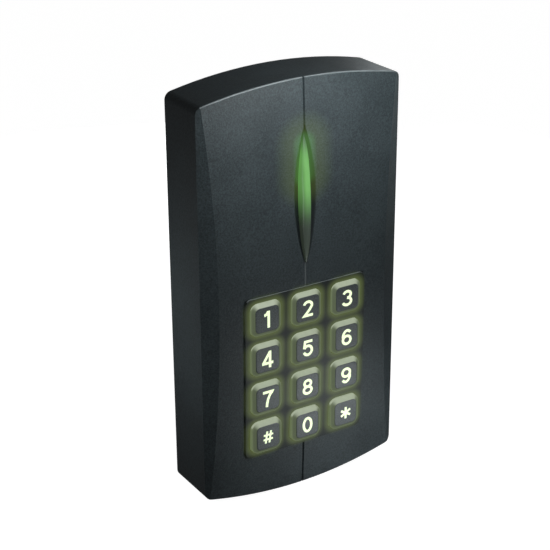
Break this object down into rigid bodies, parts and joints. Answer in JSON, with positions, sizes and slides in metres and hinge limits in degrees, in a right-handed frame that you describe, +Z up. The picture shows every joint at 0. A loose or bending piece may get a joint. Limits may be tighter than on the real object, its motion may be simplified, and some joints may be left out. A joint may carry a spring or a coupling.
{
  "type": "proximity card reader",
  "caption": "Wall-mounted proximity card reader with a backlit keypad, a pointed status light, and a housing that hooks on and tilts off its mounting plate.",
  "frame": {"origin": "middle of the face that lies on the wall", "axes": "+Z up the wall, the front faces -Y, and +X is to the right of someone facing it"},
  "size_m": [0.068, 0.0216, 0.13],
  "materials": {
    "housing": "fine matt texture, moulded",
    "plate": "fine matt texture, moulded",
    "light_guide": "polished, lit from behind",
    "keycap": "satin, lit from behind",
    "legend": "lit from behind",
    "silicone": "matt",
    "carbon": "matt",
    "board": "solder resist over glass fibre",
    "gold": "plated",
    "led": "white body with a clear window",
    "bobbin": "moulded",
    "copper": "enamelled wire",
    "chip": "moulded epoxy",
    "can": "drawn, satin",
    "ceramic_chip": "glazed",
    "buzzer": "moulded",
    "terminal": "moulded nylon",
    "plunger": "moulded",
    "steel_screw": "zinc plated",
    "brass": "turned",
    "rubber": "matt"
  },
  "bodies": {
    "wall_plate": {"base_plate": "plate", "cable_grommet": "rubber"},
    "reader": {"front_cover": "housing", "light_pipe": "light_guide", "lock_insert": "brass", "circuit_board": "board", "board_screws": "steel_screw", "contact_pads": "gold", "keymat": "silicone", "keypad_leds": "led", "status_leds": "led", "coil_former": "bobbin", "antenna_coil": "copper", "microcontroller": "chip", "reader_chip": "chip", "voltage_regulator": "chip", "crystal": "can", "capacitors": "can", "chip_resistors": "ceramic_chip", "buzzer": "buzzer", "terminal_block": "terminal", "terminal_screws": "steel_screw", "tamper_switch": "buzzer"},
    "lock_screw": {"lock_screw": "steel_screw"},
    "tamper_plunger": {"tamper_plunger": "plunger"},
    "key_1": {"key_1": "keycap", "contact_pill_1": "carbon"},
    "key_2": {"key_2": "keycap", "contact_pill_2": "carbon"},
    "key_3": {"key_3": "keycap", "contact_pill_3": "carbon"},
    "key_4": {"key_4": "keycap", "contact_pill_4": "carbon"},
    "key_5": {"key_5": "keycap", "contact_pill_5": "carbon"},
    "key_6": {"key_6": "keycap", "contact_pill_6": "carbon"},
    "key_7": {"key_7": "keycap", "contact_pill_7": "carbon"},
    "key_8": {"key_8": "keycap", "contact_pill_8": "carbon"},
    "key_9": {"key_9": "keycap", "contact_pill_9": "carbon"},
    "key_0": {"key_0": "keycap", "contact_pill_0": "carbon"},
    "key_hash": {"key_hash": "keycap", "contact_pill_hash": "carbon"},
    "key_star": {"key_star": "keycap", "contact_pill_star": "carbon"}
  },
  "joints": [
    {"name": "reader_tilt", "type": "hinge", "parent": "wall_plate", "child": "reader", "pos_m": [0, 0, 0.065], "axis": [-1, 0, 0], "range_deg": [0, 30]},
    {"name": "lock_screw_travel", "type": "slide", "parent": "reader", "child": "lock_screw", "axis": [0, 0, 1], "range_m": [0, 0.0034]},
    {"name": "tamper_release", "type": "slide", "parent": "reader", "child": "tamper_plunger", "axis": [0, 1, 0], "range_m": [0, 0.0008]},
    {"name": "key_1_press", "type": "slide", "parent": "reader", "child": "key_1", "axis": [0, 1, 0], "range_m": [0, 0.001], "stiffness_N_per_m": 800, "deforming": ["keymat"]},
    {"name": "key_2_press", "type": "slide", "parent": "reader", "child": "key_2", "axis": [0, 1, 0], "range_m": [0, 0.001], "stiffness_N_per_m": 800, "deforming": ["keymat"]},
    {"name": "key_3_press", "type": "slide", "parent": "reader", "child": "key_3", "axis": [0, 1, 0], "range_m": [0, 0.001], "stiffness_N_per_m": 800, "deforming": ["keymat"]},
    {"name": "key_4_press", "type": "slide", "parent": "reader", "child": "key_4", "axis": [0, 1, 0], "range_m": [0, 0.001], "stiffness_N_per_m": 800, "deforming": ["keymat"]},
    {"name": "key_5_press", "type": "slide", "parent": "reader", "child": "key_5", "axis": [0, 1, 0], "range_m": [0, 0.001], "stiffness_N_per_m": 800, "deforming": ["keymat"]},
    {"name": "key_6_press", "type": "slide", "parent": "reader", "child": "key_6", "axis": [0, 1, 0], "range_m": [0, 0.001], "stiffness_N_per_m": 800, "deforming": ["keymat"]},
    {"name": "key_7_press", "type": "slide", "parent": "reader", "child": "key_7", "axis": [0, 1, 0], "range_m": [0, 0.001], "stiffness_N_per_m": 800, "deforming": ["keymat"]},
    {"name": "key_8_press", "type": "slide", "parent": "reader", "child": "key_8", "axis": [0, 1, 0], "range_m": [0, 0.001], "stiffness_N_per_m": 800, "deforming": ["keymat"]},
    {"name": "key_9_press", "type": "slide", "parent": "reader", "child": "key_9", "axis": [0, 1, 0], "range_m": [0, 0.001], "stiffness_N_per_m": 800, "deforming": ["keymat"]},
    {"name": "key_0_press", "type": "slide", "parent": "reader", "child": "key_0", "axis": [0, 1, 0], "range_m": [0, 0.001], "stiffness_N_per_m": 800, "deforming": ["keymat"]},
    {"name": "key_hash_press", "type": "slide", "parent": "reader", "child": "key_hash", "axis": [0, 1, 0], "range_m": [0, 0.001], "stiffness_N_per_m": 800, "deforming": ["keymat"]},
    {"name": "key_star_press", "type": "slide", "parent": "reader", "child": "key_star", "axis": [0, 1, 0], "range_m": [0, 0.001], "stiffness_N_per_m": 800, "deforming": ["keymat"]}
  ],
  "couplings": [
    {"joint": "tamper_release", "follows": "reader_tilt", "m_per_rad": 0.0015}
  ]
}
